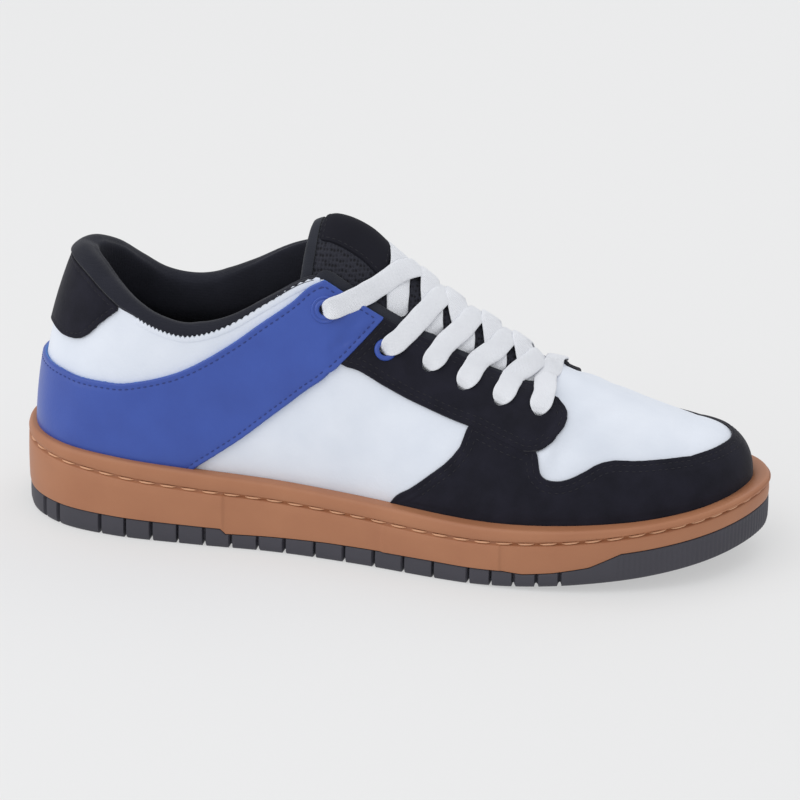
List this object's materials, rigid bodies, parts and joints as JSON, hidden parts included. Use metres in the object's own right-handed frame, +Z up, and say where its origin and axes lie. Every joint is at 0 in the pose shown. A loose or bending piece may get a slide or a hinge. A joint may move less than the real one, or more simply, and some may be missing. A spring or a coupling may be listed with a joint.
{
  "type": "low lace-up sneaker",
  "caption": "Low right sneaker: leather upper with nubuck overlays and a blue heel band, padded collar and tongue, flat lace, stitched gum cup sole on a dark tread.",
  "frame": {"origin": "on the floor under the middle of the heel, on the sole's flat underside", "axes": "+X from heel to toe, +Y towards the inner side of the foot, +Z up"},
  "size_m": [0.2996, 0.1077, 0.1278],
  "materials": {
    "tread_rubber": "matt dark grey rubber",
    "gum_rubber": "satin gum rubber",
    "board": "brushed fabric",
    "white_leather": "smooth full-grain leather",
    "black_nubuck": "matt nubuck",
    "blue_leather": "satin smooth leather",
    "knit": "padded dark grey knit",
    "mesh_knit": "spacer mesh",
    "smooth_black": "smooth black patch",
    "lace": "flat woven cotton"
  },
  "bodies": {
    "root": {"outsole": "tread_rubber", "midsole": "gum_rubber", "insole": "board", "upper": "white_leather", "mudguard": "black_nubuck", "eyestay_outer": "black_nubuck", "eyestay_inner": "black_nubuck", "heel_band": "blue_leather", "heel_tab": "black_nubuck", "collar_padding": "knit", "tongue": "mesh_knit", "tongue_label": "smooth_black", "lace": "lace", "eyelet_outer_1": "blue_leather", "eyelet_outer_2": "blue_leather", "eyelet_inner_1": "blue_leather", "eyelet_inner_2": "blue_leather"}
  },
  "joints": []
}
